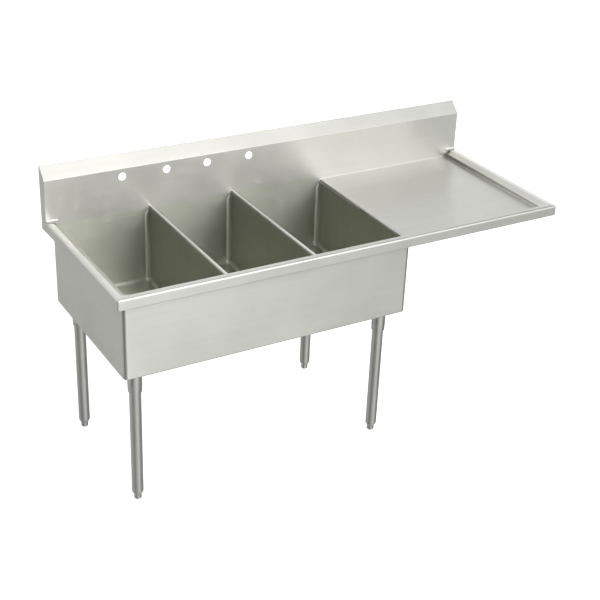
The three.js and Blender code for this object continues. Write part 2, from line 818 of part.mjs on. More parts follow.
function drain(name, number) {
  const group = new THREE.Group();
  const plan = bowlPlan(number);
  group.position.set(plan.centreX, plan.centreY, 0);
  group.add(
    named(`strainer_body_${name}`, strainerBody(), materials.polished),
    named(`drain_gasket_${name}`, drainGasket(), materials.gasket),
    named(`lock_nut_${name}`, lockNut(), materials.fastener),
    named(`strainer_basket_${name}`, strainerBasket(), materials.polished),
  );
  return group;
}

const sink = new THREE.Group();
sink.add(body());
ENDS.forEach((end) => SIDES.forEach((side) => sink.add(leg(end, side))));
BOWL_NAMES.forEach((name, number) => sink.add(drain(name, number)));

export default sink;
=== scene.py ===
import math

import bmesh
import bpy
from mathutils import Matrix, Vector


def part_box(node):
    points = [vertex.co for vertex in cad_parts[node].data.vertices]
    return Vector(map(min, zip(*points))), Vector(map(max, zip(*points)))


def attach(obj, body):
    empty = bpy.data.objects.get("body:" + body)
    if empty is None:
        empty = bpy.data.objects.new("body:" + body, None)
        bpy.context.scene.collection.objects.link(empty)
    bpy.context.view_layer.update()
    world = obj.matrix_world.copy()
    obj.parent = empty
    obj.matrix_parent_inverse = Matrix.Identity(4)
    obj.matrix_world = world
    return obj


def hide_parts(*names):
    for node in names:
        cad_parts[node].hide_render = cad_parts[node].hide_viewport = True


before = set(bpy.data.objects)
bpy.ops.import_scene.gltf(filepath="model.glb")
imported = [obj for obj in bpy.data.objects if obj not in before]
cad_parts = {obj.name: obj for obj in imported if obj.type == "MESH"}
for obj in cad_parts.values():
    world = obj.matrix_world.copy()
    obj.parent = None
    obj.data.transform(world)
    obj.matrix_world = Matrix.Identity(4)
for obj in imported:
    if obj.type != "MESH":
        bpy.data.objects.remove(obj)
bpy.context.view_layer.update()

# The looks of a three compartment sink with a drainboard. Metres, Z up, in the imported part's own frame.
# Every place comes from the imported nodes. Visible faces are drawn once and given the sheet's thickness.

SINK = "sink_body"

# Sizes that the nodes' boxes don't give.
SHEET = 0.002
RIM_FLAT = 0.027
RIM_SLOPE_DROP = 0.014
RIM_BEND = 0.004
RIM_OUTER_BEND = 0.009
RIM_CORNER = 0.005
SPLASH_BEND = 0.0025
FAUCET_HOLE = 0.0175
FAUCET_CENTRES = 0.2032
FAUCET_ABOVE_RIM = 0.146
FAUCET_LEFT_OF_DIVIDER = 0.022
BOWL_CORNER = 0.022
BOWL_COVE = 0.019
DRAIN_HOLE = 0.0465
DRAIN_DISH = 0.072
DRAIN_DISH_DEPTH = 0.004
DECK_ROLL = 0.012
DECK_COVE = 0.004
ROLL_COVE = 0.004
APRON_CORNER = 0.020
APRON_BEND = 0.008
APRON_FLANGE = 0.010
APRON_RETURN = 0.045
JOINT_GAP = 0.0003
TUBE_WALL = 0.0015
TUBE_EDGE = 0.0004
SOCKET_EDGE = 0.0012
SOCKET_WELD = 0.003
STUD = 0.006
FOOT_GAP = 0.0005
FLANGE_HEIGHT = 0.0025
CORNER_WELD = 0.012
TIGHT = 0.0008
CORNER_EASE = 0.030
FLANGE_DEPTH = 0.028
SEAM_REACH = 0.040  # how far the side pieces above the last bowl's wall run to its left
SHARP_ANGLE = math.radians(38)
BEND_STEPS = 6
ROUND_STEPS = 64

# Places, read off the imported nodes.
rim_low, rim_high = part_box("front_rim")
_, cap_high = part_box("backsplash_end_left")
splash_low, splash_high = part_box("backsplash")
deck_low, deck_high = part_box("drainboard")
apron_low, apron_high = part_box("apron")
LEFT, RIGHT, FRONT, RIM_TOP = rim_low.x, rim_high.x, rim_low.y, rim_high.z
RIM_WIDTH = rim_high.y - rim_low.y
RIM_FOOT = rim_low.z
SPLASH, WALL = splash_low.y, cap_high.y
SPLASH_TOP = cap_high.z
CREASE = SPLASH_TOP - (WALL - SPLASH)
SHELL_TOP = splash_low.z
BOWL_FRONT = FRONT + RIM_WIDTH
BOWLS_END = deck_low.x
DECK = deck_low.z + DECK_ROLL + SHEET
TRAY_RIGHT = deck_high.x - SHEET
ENDS = (("left", LEFT, 1), ("right", RIGHT, -1))  # name, outer face, direction inwards
BOWL_NAMES = ("left", "centre", "right")
PLACES = [(end, side) for end in ("front", "rear") for side in ("left", "right")]


# Materials.

NOISE_LOW, NOISE_HIGH = 0.3, 0.7
FINE_GRAIN = (5.0, 900.0)  # noise scale along and across the grain
BROAD_GRAIN = (1.2, 70.0)
SCRATCH_DEPTH = 0.00001
TANGENT_SPARE = 0.05  # gives a tangent where a face looks along the grain
DUST = (0.16, 0.155, 0.15, 1.0)


def node(tree, kind, inputs=None, **settings):
    made = tree.nodes.new("ShaderNode" + kind)
    for key, value in settings.items():
        setattr(made, key, value)
    for key, value in (inputs or {}).items():
        if isinstance(value, bpy.types.NodeSocket):
            tree.links.new(value, made.inputs[key])
        else:
            made.inputs[key].default_value = value
    return made


def new_material(name):
    material = bpy.data.materials.new(name)
    material.use_nodes = True
    tree = material.node_tree
    return material, tree, tree.nodes["Principled BSDF"]


def maths(tree, operation, a, b=None):
    inputs = {0: a} if b is None else {0: a, 1: b}
    return node(tree, "Math", inputs, operation=operation).outputs[0]


def vector_maths(tree, operation, a, b):
    return node(tree, "VectorMath", {0: a, 1: b}, operation=operation).outputs[0]


def scaled(tree, vector, factor):
    return node(tree, "VectorMath", {0: vector, "Scale": factor}, operation="SCALE").outputs[0]


def dot_product(tree, a, b):
    return node(tree, "VectorMath", {0: a, 1: b}, operation="DOT_PRODUCT").outputs["Value"]


def noise(tree, where, scale, detail=2.0, roughness=0.5):
    inputs = {"Vector": where, "Scale": scale, "Detail": detail, "Roughness": roughness}
    return node(tree, "TexNoise", inputs).outputs["Fac"]


def remap(tree, value, low, high, to_low, to_high):
    return node(tree, "MapRange", {0: value, 1: low, 2: high, 3: to_low, 4: to_high}).outputs[0]


def spread(tree, texture, low, high):
    """A noise texture's usual range, spread from low to high."""
    return remap(tree, texture, NOISE_LOW, NOISE_HIGH, low, high)


def stretched(tree, coordinates, grain, along, across):
    """Coordinates that make a texture run in streaks along the grain, which is a unit axis or a socket."""
    if not isinstance(grain, bpy.types.NodeSocket):
        scale = tuple(along if g else across for g in grain)
        return vector_maths(tree, "MULTIPLY", coordinates, scale)
    lengthwise = scaled(tree, grain, dot_product(tree, coordinates, grain))
    sideways = vector_maths(tree, "SUBTRACT", coordinates, lengthwise)
    return vector_maths(tree, "ADD", scaled(tree, lengthwise, along), scaled(tree, sideways, across))


def bowl_grain(tree):
    """The grain runs lengthwise on a bowl's front, floor and rear, and upright on its sides."""
    faces_sideways = 0.7
    geometry = node(tree, "NewGeometry")
    axes = node(tree, "SeparateXYZ", {0: geometry.outputs["Normal"]})
    sideways = maths(tree, "ABSOLUTE", axes.outputs[0])
    turned = maths(tree, "GREATER_THAN", sideways, faces_sideways)
    level = maths(tree, "SUBTRACT", 1.0, turned)
    return node(tree, "CombineXYZ", {0: level, 2: turned}).outputs[0]


def brushed(name, colour, roughness, grain, anisotropy=0.7, wave=0.0006, streak=1.0):
    """Sheet steel with a polished grain, faint streaks, handling marks and a slightly uneven surface."""
    material, tree, shader = new_material(name)
    coordinates = node(tree, "TexCoord").outputs["Object"]
    if callable(grain):
        grain = grain(tree)
    fine = noise(tree, stretched(tree, coordinates, grain, *FINE_GRAIN), 1.0, 3.0)
    broad = noise(tree, stretched(tree, coordinates, grain, *BROAD_GRAIN), 1.0, 2.0)
    cloudy = noise(tree, coordinates, 4.5, 3.0, 0.55)
    marks = noise(tree, coordinates, 23.0, 4.0, 0.6)

    tone = maths(tree, "ADD", spread(tree, fine, -0.035 * streak, 0.035 * streak),
                 spread(tree, broad, -0.03 * streak, 0.03 * streak))
    tone = maths(tree, "ADD", tone, spread(tree, cloudy, 0.98, 1.02))
    tree.links.new(scaled(tree, colour[:3], tone), shader.inputs["Base Color"])

    rough = maths(tree, "ADD", spread(tree, fine, roughness - 0.03, roughness + 0.03),
                  remap(tree, marks, 0.52, 0.72, 0.0, 0.05))
    rough = maths(tree, "ADD", rough, spread(tree, cloudy, -0.02, 0.02))
    tree.links.new(rough, shader.inputs["Roughness"])
    shader.inputs["Metallic"].default_value = 1.0
    shader.inputs["Anisotropic"].default_value = anisotropy

    geometry = node(tree, "NewGeometry")
    across = vector_maths(tree, "CROSS_PRODUCT", geometry.outputs["Normal"], grain)
    if not isinstance(grain, bpy.types.NodeSocket):
        spare = tuple(TANGENT_SPARE * g for g in (grain[2], grain[0], grain[1]))
        across = vector_maths(tree, "ADD", across, spare)
    tree.links.new(across, shader.inputs["Tangent"])

    uneven = node(tree, "Bump", {"Height": noise(tree, coordinates, 3.2, 1.0), "Distance": wave})
    scratches = {"Height": fine, "Distance": SCRATCH_DEPTH, "Strength": 0.4 * streak}
    scratched = node(tree, "Bump", scratches)
    tree.links.new(uneven.outputs[0], scratched.inputs["Normal"])
    tree.links.new(scratched.outputs[0], shader.inputs["Normal"])
    return material


def turned_metal(name, colour, roughness, rings=1400.0, grit=0.0):
    """Metal finished on a lathe: faint rings round the piece's own upright axis."""
    material, tree, shader = new_material(name)
    coordinates = node(tree, "TexCoord").outputs["Object"]
    axes = node(tree, "SeparateXYZ", {0: coordinates})
    flat = node(tree, "CombineXYZ", {0: axes.outputs[0], 1: axes.outputs[1]})
    radius = node(tree, "VectorMath", {0: flat.outputs[0]}, operation="LENGTH").outputs["Value"]
    profile = node(tree, "CombineXYZ", {0: radius, 1: axes.outputs[2]}).outputs[0]
    grooves = noise(tree, profile, rings, 2.0)
    cloudy = noise(tree, coordinates, 30.0, 3.0)
    tone = maths(tree, "ADD", spread(tree, grooves, -0.03, 0.03), spread(tree, cloudy, 0.96, 1.02))
    tree.links.new(scaled(tree, colour[:3], tone), shader.inputs["Base Color"])
    rough = maths(tree, "ADD", spread(tree, cloudy, roughness - 0.03, roughness + 0.05),
                  spread(tree, grooves, -0.02, 0.02))
    tree.links.new(rough, shader.inputs["Roughness"])
    shader.inputs["Metallic"].default_value = 1.0
    grain = noise(tree, coordinates, 900.0, 3.0) if grit else grooves
    bump = node(tree, "Bump", {"Height": grain, "Distance": grit or SCRATCH_DEPTH, "Strength": 0.5})
    tree.links.new(bump.outputs[0], shader.inputs["Normal"])
    return material


def dull(name, colour, roughness, scale=400.0, depth=0.00005):
    """Rubber or moulded plastic, with a fine even texture and a little dust."""
    material, tree, shader = new_material(name)
    coordinates = node(tree, "TexCoord").outputs["Object"]
    texture = noise(tree, coordinates, scale, 3.0)
    dust = noise(tree, coordinates, 40.0, 4.0)
    mixed = node(tree, "Mix", {0: remap(tree, dust, 0.45, 0.8, 0.0, 0.35)}, data_type="RGBA")
    mixed.inputs[6].default_value = colour
    mixed.inputs[7].default_value = DUST
    tree.links.new(mixed.outputs[2], shader.inputs["Base Color"])
    rough = spread(tree, texture, roughness - 0.08, roughness + 0.08)
    tree.links.new(rough, shader.inputs["Roughness"])
    bump = node(tree, "Bump", {"Height": texture, "Distance": depth, "Strength": 0.6})
    tree.links.new(bump.outputs[0], shader.inputs["Normal"])
    return material


STEEL = (0.62, 0.62, 0.59, 1.0)
# The bowls get a darker, greener copy of the sheet steel, which paints the shade inside the bowls.
SHADED_BOWL_STEEL = (0.60, 0.61, 0.545, 1.0)
X_AXIS, Y_AXIS, Z_AXIS = (1.0, 0.0, 0.0), (0.0, 1.0, 0.0), (0.0, 0.0, 1.0)
sheet_x = brushed("sheet_grain_lengthwise", STEEL, 0.42, X_AXIS, wave=0.004, streak=0.5)
sheet_y = brushed("sheet_grain_crosswise", STEEL, 0.42, Y_AXIS, wave=0.003, streak=0.5)
sheet_bowl = brushed("sheet_bowl", SHADED_BOWL_STEEL, 0.42, bowl_grain, streak=0.5)
tube_steel = brushed("tube_steel", STEEL, 0.38, Z_AXIS, anisotropy=0.5, wave=0.0)
weld_steel = turned_metal("ground_weld", (0.60, 0.60, 0.57, 1.0), 0.48, 300.0)
socket_steel = turned_metal("socket_steel", (0.60, 0.60, 0.57, 1.0), 0.36, 500.0, 0.00003)
foot_steel = turned_metal("foot_steel", (0.62, 0.62, 0.60, 1.0), 0.28)
drain_steel = turned_metal("drain_steel", (0.74, 0.74, 0.72, 1.0), 0.16)
fastener_steel = turned_metal("fastener_steel", (0.50, 0.50, 0.48, 1.0), 0.38, 600.0, 0.00004)
insert_plastic = dull("insert_plastic", (0.33, 0.33, 0.32, 1.0), 0.55)
gasket_rubber = dull("gasket_rubber", (0.018, 0.018, 0.019, 1.0), 0.8, 250.0)


# Mesh helpers.


def rounded(corners, radius, steps=BEND_STEPS):
    """The points along a bent line, with every bend rounded. A corner may carry its own radius."""
    line = [Vector(corners[0][:2])]
    for before, corner, after in zip(corners, corners[1:], corners[2:]):
        bend = corner[2] if len(corner) > 2 else radius
        before, corner, after = Vector(before[:2]), Vector(corner[:2]), Vector(after[:2])
        back = (before - corner).normalized()
        onward = (after - corner).normalized()
        half = back.angle(onward) / 2
        if bend <= 0 or half > math.radians(89.9):
            line.append(corner)
            continue
        centre = corner + (back + onward).normalized() * (bend / math.sin(half))
        start = corner + back * (bend / math.tan(half)) - centre
        turn = math.pi - 2 * half
        if back.x * onward.y - back.y * onward.x > 0:
            turn = -turn
        for k in range(steps + 1):
            angle = turn * k / steps
            spoke = Vector((start.x * math.cos(angle) - start.y * math.sin(angle),
                            start.x * math.sin(angle) + start.y * math.cos(angle)))
            line.append(centre + spoke)
    line.append(Vector(corners[-1][:2]))
    return line


def grid(bm, rows, wrap_rows=False, wrap_points=False, slots=None):
    """Quads between rows of points. The slots give each span between rows its material."""
    made = [[bm.verts.new(point) for point in row] for row in rows]
    count = len(rows[0])
    spans = len(rows) if wrap_rows else len(rows) - 1
    for i in range(spans):
        here, there = made[i], made[(i + 1) % len(rows)]
        for j in range(count if wrap_points else count - 1):
            k = (j + 1) % count
            face = bm.faces.new((here[j], here[k], there[k], there[j]))
            face.material_index = slots[i] if slots else 0
    return made


def flat_face(bm, points):
    bm.faces.new([bm.verts.new(point) for point in points])


def piece_from(bm, name, materials=()):
    """Puts a bmesh into the scene as an object."""
    mesh = bpy.data.meshes.new(name)
    bm.to_mesh(mesh)
    bm.free()
    for material in materials:
        mesh.materials.append(material)
    piece = bpy.data.objects.new(name, mesh)
    bpy.context.scene.collection.objects.link(piece)
    return piece


def thicken(piece, thickness):
    """Gives an open surface its thickness, behind the face that is seen."""
    solidify = piece.modifiers.new("thickness", "SOLIDIFY")
    solidify.thickness = thickness
    solidify.offset = -1.0
    solidify.use_even_offset = True


def extruded(outline, start, end):
    """A bmesh of an outline in the YZ plane, run along X and closed at both ends."""
    bm = bmesh.new()
    for x in (start, end):
        flat_face(bm, [Vector((x, y, z)) for y, z in outline])
    bmesh.ops.bridge_loops(bm, edges=list(bm.edges))
    return bm


def finished(name, bm, materials, facing=None, thickness=0.0, edge=0.0003, body=SINK,
             stands_for=()):
    """Turns a bmesh into a piece. An open surface is faced the given way, and thickened behind."""
    bmesh.ops.remove_doubles(bm, verts=bm.verts, dist=1e-5)
    bmesh.ops.dissolve_degenerate(bm, edges=bm.edges, dist=1e-6)
    bmesh.ops.recalc_face_normals(bm, faces=bm.faces)
    if facing is not None:
        total = Vector()
        for face in bm.faces:
            total += face.normal * face.calc_area()
        if total.dot(Vector(facing)) < 0:
            bmesh.ops.reverse_faces(bm, faces=bm.faces)
    piece = piece_from(bm, name, materials)
    if thickness:
        thicken(piece, thickness)
    dress(piece, edge)
    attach(piece, body)
    if stands_for:
        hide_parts(*stands_for)
    return piece


def sharpen_open_edges(mesh):
    """Keeps the rounding of a thickened sheet's cut edges from bending the shading of its faces."""
    uses = {}
    for face in mesh.polygons:
        for key in face.edge_keys:
            uses[key] = uses.get(key, 0) + 1
    for edge in mesh.edges:
        if uses.get(edge.key) == 1:
            edge.use_edge_sharp = True


def soften(piece, edge):
    """Rounds the sharp edges a little, and keeps flat faces flat in the shading."""
    if edge:
        bevel = piece.modifiers.new("edges", "BEVEL")
        bevel.width = edge
        bevel.segments = 2
        bevel.limit_method = "ANGLE"
        bevel.angle_limit = SHARP_ANGLE
    weighted = piece.modifiers.new("flats", "WEIGHTED_NORMAL")
    weighted.keep_sharp = True


def dress(piece, edge):
    """Smooth faces between bends, softened edges, and flat panels that stay flat."""
    piece.data.shade_smooth()
    piece.data.set_sharp_from_angle(angle=SHARP_ANGLE)
    sharpen_open_edges(piece.data)
    soften(piece, edge)


def lathe(profile, steps=ROUND_STEPS):
    """A bmesh turned about the upright axis. The profile is a closed loop, or starts and ends on the axis."""
    bm = bmesh.new()
    on_axis = abs(profile[0][0]) < 1e-9
    rows = []
    for k in range(steps):
        angle = 2 * math.pi * k / steps
        c, s = math.cos(angle), math.sin(angle)
        rows.append([Vector((r * c, r * s, z)) for r, z in profile])
    grid(bm, rows, wrap_rows=True, wrap_points=not on_axis)
    return bm


def turned_piece(name, profile, material, middle, node_name, body=SINK, steps=ROUND_STEPS):
    """A piece turned about its own upright axis, which goes through the given middle."""
    bm = lathe(profile, steps)
    bmesh.ops.remove_doubles(bm, verts=bm.verts, dist=1e-6)
    bmesh.ops.recalc_face_normals(bm, faces=bm.faces)
    piece = piece_from(bm, name, [material])
    piece.location = (middle.x, middle.y, 0.0)
    dress(piece, 0.0)
    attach(piece, body)
    if node_name:
        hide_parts(node_name)
    return piece


def keep_shape(piece, cutters):
    """Cuts the piece with the cutters, keeps the result as its mesh, and clears the cutters away."""
    for cutter in cutters:
        boolean = piece.modifiers.new("cut", "BOOLEAN")
        boolean.operation = "DIFFERENCE"
        boolean.solver = "EXACT"
        boolean.object = cutter
    evaluated = piece.evaluated_get(bpy.context.evaluated_depsgraph_get())
    mesh = bpy.data.meshes.new_from_object(evaluated)
    piece.modifiers.clear()
    piece.data = mesh
    for cutter in cutters:
        bpy.data.objects.remove(cutter)
    return piece


def cylinder_cutter(centre, axis, radius, length, steps=48):
    bm = bmesh.new()
    turn = Vector((0, 0, 1)).rotation_difference(Vector(axis)).to_matrix().to_4x4()
    bmesh.ops.create_cone(bm, cap_ends=True, segments=steps, radius1=radius, radius2=radius,
                          depth=length, matrix=Matrix.Translation(centre) @ turn)
    return piece_from(bm, "cutter")


def join_cutters(cutters):
    """One cutter from several that don't touch each other."""
    bm = bmesh.new()
    for cutter in cutters:
        bm.from_mesh(cutter.data)
        bpy.data.objects.remove(cutter)
    return piece_from(bm, "cutter")


# Backsplash.


def make_backsplash():
    flange_end = splash_high.z - FLANGE_DEPTH
    outline = rounded([(SPLASH, SHELL_TOP), (SPLASH, CREASE), (WALL, SPLASH_TOP), (WALL, flange_end)],
                      SPLASH_BEND)
    spans = 24
    left, right = LEFT + SHEET, RIGHT - SHEET
    rows = []
    for k in range(spans + 1):
        x = left + (right - left) * k / spans
        rows.append([Vector((x, y, z)) for y, z in outline])
    bm = bmesh.new()
    grid(bm, rows)
    piece = finished("splash_panel", bm, [sheet_x], (0, -1, 0), 0.0, 0.0, stands_for=["backsplash"])
    piece.modifiers.clear()
    thicken(piece, SHEET)
    cutters = []
    for side in ("left", "right"):
        low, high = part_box("divider_cap_" + side)
        middle = (low.x + high.x) / 2 - FAUCET_LEFT_OF_DIVIDER
        for step in (-0.5, 0.5):
            centre = (middle + step * FAUCET_CENTRES, SPLASH, RIM_TOP + FAUCET_ABOVE_RIM)
            cutters.append(cylinder_cutter(centre, (0, 1, 0), FAUCET_HOLE, 10 * SHEET))
    keep_shape(piece, cutters)
    dress(piece, 0.0003)


def make_splash_ends():
    """The closed ends. Each outline starts part way up its front edge, so that every corner is a bend."""
    start = (SPLASH, (RIM_FOOT + CREASE) / 2)
    outline = rounded([start, (SPLASH, CREASE), (WALL, SPLASH_TOP, TIGHT), (WALL, RIM_FOOT),
                       (SPLASH, RIM_FOOT), start], SPLASH_BEND)
    for name, face, inwards in ENDS:
        bm = extruded(outline[:-1], face, face + inwards * SHEET)
        finished("splash_end_" + name, bm, [sheet_y], None, 0.0, 0.0004,
                 stands_for=["backsplash_end_" + name])


# Rims: one folded channel round three sides, with rounded corners.


def rim_profile():
    slope_end = RIM_TOP - RIM_SLOPE_DROP
    hem = apron_low.x - LEFT
    return rounded([(RIM_WIDTH, SHELL_TOP), (RIM_WIDTH, slope_end), (RIM_FLAT, RIM_TOP),
                    (0.0, RIM_TOP, RIM_OUTER_BEND), (0.0, RIM_FOOT), (hem, RIM_FOOT)], RIM_BEND)


def rim_corner(profile, corner, first, second, inner_radius, under_radius, steps=10):
    """Rows of the profile round a corner, from one side's inward direction to the other's."""
    hem_below_rim = 0.035
    hem_starts = 0.003
    rows = []
    for k in range(steps + 1):
        angle = math.pi / 2 * k / steps
        row = []
        for offset, height in profile:
            under = height < RIM_TOP - hem_below_rim and offset > hem_starts
            reach = min(1.0, offset / (RIM_FLAT if under else RIM_WIDTH))
            radius = RIM_CORNER + ((under_radius if under else inner_radius) - RIM_CORNER) * reach
            centre = corner + (first + second) * (offset + radius)
            point = centre - (first * math.cos(angle) + second * math.sin(angle)) * radius
            row.append(Vector((point.x, point.y, height)))
        rows.append(row)
    return rows


def make_rims():
    profile = rim_profile()
    right_way, left_way, back_way = Vector((1, 0)), Vector((-1, 0)), Vector((0, 1))
    straight = 8
    rows = [[Vector((LEFT + d, SPLASH, z)) for d, z in profile]]
    left_corner = rim_corner(profile, Vector((LEFT, FRONT)), right_way, back_way,
                             BOWL_CORNER, APRON_CORNER)
    right_corner = rim_corner(profile, Vector((RIGHT, FRONT)), back_way, left_way,
                              DECK_COVE, RIM_CORNER)
    last = [[Vector((RIGHT - d, SPLASH, z)) for d, z in profile]]

    def between(a, b):
        return [[p.lerp(q, k / straight) for p, q in zip(a, b)] for k in range(1, straight)]

    rows += between(rows[0], left_corner[0]) + left_corner
    front_start = len(rows) - 1 - len(left_corner) // 2
    rows += between(left_corner[-1], right_corner[0]) + right_corner
    front_end = len(rows) - 1 - len(right_corner) // 2
    rows += between(right_corner[-1], last[0]) + last
    slots = [0 if front_start <= i < front_end else 1 for i in range(len(rows) - 1)]
    bm = bmesh.new()
    grid(bm, rows, slots=slots)
    finished("rim_channel", bm, [sheet_x, sheet_y], (0, 0, 1), SHEET, 0.0003,
             stands_for=["front_rim", "left_rim", "right_rim"])


def make_corner_welds():
    """A ground fillet where the end of each side rim meets the backsplash."""
    outline = [Vector((SPLASH, RIM_TOP)), Vector((SPLASH - CORNER_WELD, RIM_TOP))]
    steps = 8
    for k in range(1, steps + 1):
        angle = math.pi / 2 * k / steps
        outline.append(Vector((SPLASH - CORNER_WELD * (1 - math.sin(angle)),
                               RIM_TOP + CORNER_WELD * (1 - math.cos(angle)))))
    for name, face, inwards in ENDS:
        bm = extruded(outline, face + inwards * SHEET, face + inwards * RIM_WIDTH)
        finished("corner_weld_" + name, bm, [weld_steel], None, 0.0, 0.0004)


# Bowls.


def bowl_plan(name):
    low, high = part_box("bowl_" + name)
    wall = Vector((SHEET, SHEET, 0))
    low, high = low + wall, high - wall
    return low, high, low.z + SHEET + DRAIN_DISH_DEPTH


def eased(t):
    t = max(0.0, min(1.0, t))
    return t * t * (3 - 2 * t)


def bowl_ring(low, high, z, radii, inset=0.0, steps=8):
    """The bowl's outline at one height: rear right, rear left, front left and front right corners."""
    ring = []
    for corner, (sx, sy) in enumerate(((1, 1), (-1, 1), (-1, -1), (1, -1))):
        radius = max(TIGHT, radii[corner] - inset)
        x = (high.x - inset - radius) if sx > 0 else (low.x + inset + radius)
        y = (high.y - inset - radius) if sy > 0 else (low.y + inset + radius)
        for k in range(steps + 1):
            angle = (corner + k / steps) * math.pi / 2
            ring.append(Vector((x + radius * math.cos(angle), y + radius * math.sin(angle), z)))
    return ring


def corner_radii(z, starts):
    """Each corner's radius at a height, growing from its own start to the bowl's full radius."""
    return [first + (BOWL_CORNER - first) * eased((top - z) / CORNER_EASE) for first, top in starts]


def drain_ring(middle, radius, z, count):
    ring = []
    for k in range(count):
        angle = 2 * math.pi * (k - 0.5) / count + math.pi / 36
        ring.append(Vector((middle.x + radius * math.cos(angle), middle.y + radius * math.sin(angle), z)))
    return ring


def make_bowl(name):
    low, high, floor = bowl_plan(name)
    middle = (low + high) / 2
    starts = [(TIGHT, SHELL_TOP)] * 4
    top = SHELL_TOP
    if name == "left":
        starts[2] = (BOWL_CORNER, SHELL_TOP)
    if name == "right":
        top = deck_low.z
        starts[0] = starts[3] = (ROLL_COVE, top)
    bm = bmesh.new()
    easing = 8
    heights = [top - CORNER_EASE * k / easing for k in range(easing + 1)]
    heights += [heights[-1] - (heights[-1] - floor - BOWL_COVE) * k / 6 for k in range(1, 6)]
    rows = [bowl_ring(low, high, z, corner_radii(z, starts)) for z in heights]
    full = [BOWL_CORNER] * 4
    for k in range(9):
        angle = k / 8 * math.pi / 2
        inset = BOWL_COVE * (1 - math.cos(angle))
        rows.append(bowl_ring(low, high, floor + BOWL_COVE * (1 - math.sin(angle)), full, inset))
    count = len(rows[0])
    dish = ((DRAIN_DISH, 0.0), (0.068, 0.0002), (0.062, 0.0011), (0.056, 0.0025), (0.051, 0.0035),
            (DRAIN_HOLE, DRAIN_DISH_DEPTH))
    for radius, drop in dish:
        rows.append(drain_ring(middle, radius, floor - drop, count))
    grid(bm, rows, wrap_points=True)
    if name == "right":
        upper = [SHELL_TOP - (SHELL_TOP - top) * k / easing for k in range(easing + 1)]
        end = BOWLS_END - SEAM_REACH
        strip = []
        for z in upper:
            ring = bowl_ring(low, high, z, corner_radii(z, starts))[9:27]
            strip.append([Vector((end, high.y, z))] + ring + [Vector((end, low.y, z))])
        grid(bm, strip)
    finished("basin_" + name, bm, [sheet_bowl], (0, 0, 1), SHEET, 0.0, stands_for=["bowl_" + name])


def make_divider_top(side):
    """The rolled top between two bowls. It runs on over the front rim's slope."""
    low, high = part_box("divider_cap_" + side)
    roll = (high.x - low.x) / 2 - 0.0001
    outline = rounded([(low.x, SHELL_TOP), (low.x, high.z), (high.x, high.z), (high.x, SHELL_TOP)], roll, 10)
    slope = RIM_WIDTH - RIM_FLAT
    start = BOWL_FRONT - slope * 0.8
    rows = []
    for k in range(13):
        y = start + (SPLASH - start) * k / 12
        rows.append([Vector((x, y, z)) for x, z in outline])
    bm = bmesh.new()
    grid(bm, rows)
    finished("divider_top_" + side, bm, [sheet_y], (0, 0, 1), SHEET, 0.0, stands_for=["divider_cap_" + side])


# Drainboard.


def tray_stations():
    """Points along the deck's section, from the roll to the right upturn: place, outward way, cove."""
    roll_steps, flat_steps, upturn_steps = 12, 16, 8
    roll_centre = Vector((BOWLS_END + DECK_ROLL, 0, DECK - DECK_ROLL))
    stations = []
    for k in range(roll_steps + 1):
        angle = math.pi / 2 * (1 - k / roll_steps)
        outward = Vector((-math.sin(angle), 0, math.cos(angle)))
        cove = ROLL_COVE + (DECK_COVE - ROLL_COVE) * k / roll_steps
        stations.append((roll_centre + outward * DECK_ROLL, outward, cove))
    start, end = BOWLS_END + DECK_ROLL, TRAY_RIGHT - DECK_COVE
    for k in range(1, flat_steps + 1):
        x = start + (end - start) * k / flat_steps
        stations.append((Vector((x, 0, DECK)), Vector((0, 0, 1)), DECK_COVE))
    cove_centre = Vector((end, 0, DECK + DECK_COVE))
    for k in range(1, upturn_steps + 1):
        angle = math.pi / 2 * k / upturn_steps
        outward = Vector((-math.sin(angle), 0, math.cos(angle)))
        stations.append((cove_centre - outward * DECK_COVE, outward, DECK_COVE - TIGHT / 8))
    stations.append((Vector((TRAY_RIGHT, 0, SHELL_TOP)), Vector((-1, 0, 0)), DECK_COVE))
    return stations


def tray_row(point, outward, cove):
    """One row from front to rear: a cove up to each wall, and the flat between them."""
    cove_steps, flat_steps = 6, 8
    front = []
    for k in range(cove_steps, -1, -1):
        angle = math.pi / 2 * k / cove_steps
        front.append((BOWL_FRONT + cove * (1 - math.sin(angle)), cove * (1 - math.cos(angle))))
    back = [(SPLASH - (y - BOWL_FRONT), rise) for y, rise in front[::-1]]
    near, far = front[-1][0], back[0][0]
    flat = [(near + (far - near) * k / flat_steps, 0.0) for k in range(1, flat_steps)]
    return [Vector((point.x, y, point.z)) + outward * rise for y, rise in front + flat + back]


def make_tray():
    """The deck rolls down into the last bowl, and turns up in a cove along its other three sides."""
    rows = [tray_row(*station) for station in tray_stations()]
    bm = bmesh.new()
    grid(bm, rows)
    seam = BOWLS_END - SEAM_REACH
    for index, wall in ((0, BOWL_FRONT), (-1, SPLASH)):
        edge = [row[index] for row in rows]
        corners = [Vector((seam, wall, deck_low.z)), Vector((edge[0].x, wall, deck_low.z))]
        flat_face(bm, corners + edge + [Vector((seam, wall, SHELL_TOP))])
    finished("drain_deck", bm, [sheet_x], (0, 0, 1), SHEET, 0.0, stands_for=["drainboard"])


# Apron.


